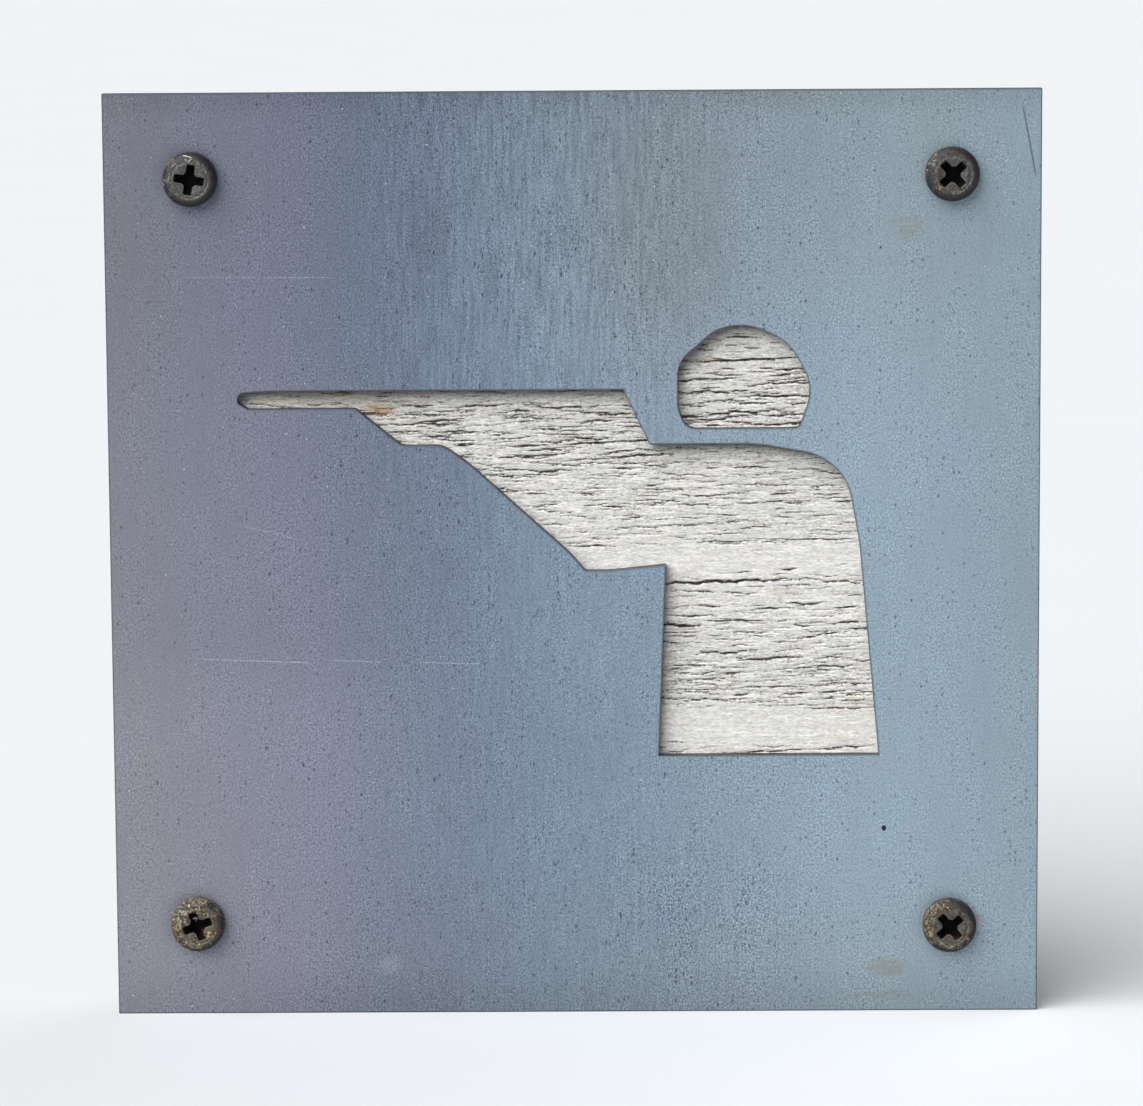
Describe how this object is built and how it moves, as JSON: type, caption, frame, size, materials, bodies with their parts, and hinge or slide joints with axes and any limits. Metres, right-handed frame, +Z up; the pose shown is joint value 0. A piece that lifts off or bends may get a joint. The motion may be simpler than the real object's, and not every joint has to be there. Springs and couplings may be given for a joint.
{
  "type": "metal silhouette sign",
  "caption": "Square rolled-steel sign with a cut-out figure aiming a rifle, screwed to a weathered white wooden board with a sawtooth hanger let into its back.",
  "frame": {"origin": "middle of the board's underside, on the surface that the sign stands on", "axes": "+Z up, the sign's front faces -Y, +X to the right as seen from the front"},
  "size_m": [0.15, 0.0168, 0.15],
  "materials": {
    "mill_scale_steel": "raw rolled sheet, blue-grey mill scale with dark specks and faint vertical brushing",
    "painted_wood": "weathered off-white paint, crackled along a horizontal grain",
    "blackened_steel": "worn black finish with rust and dirt",
    "zinc_steel": "zinc plating gone slightly dull"
  },
  "bodies": {
    "root": {"steel_plate": "mill_scale_steel", "backing_board": "painted_wood", "screw_upper_left": "blackened_steel", "screw_upper_right": "blackened_steel", "screw_lower_left": "blackened_steel", "screw_lower_right": "blackened_steel", "sawtooth_hanger": "zinc_steel", "hanger_nail_left": "zinc_steel", "hanger_nail_right": "zinc_steel"}
  },
  "joints": []
}
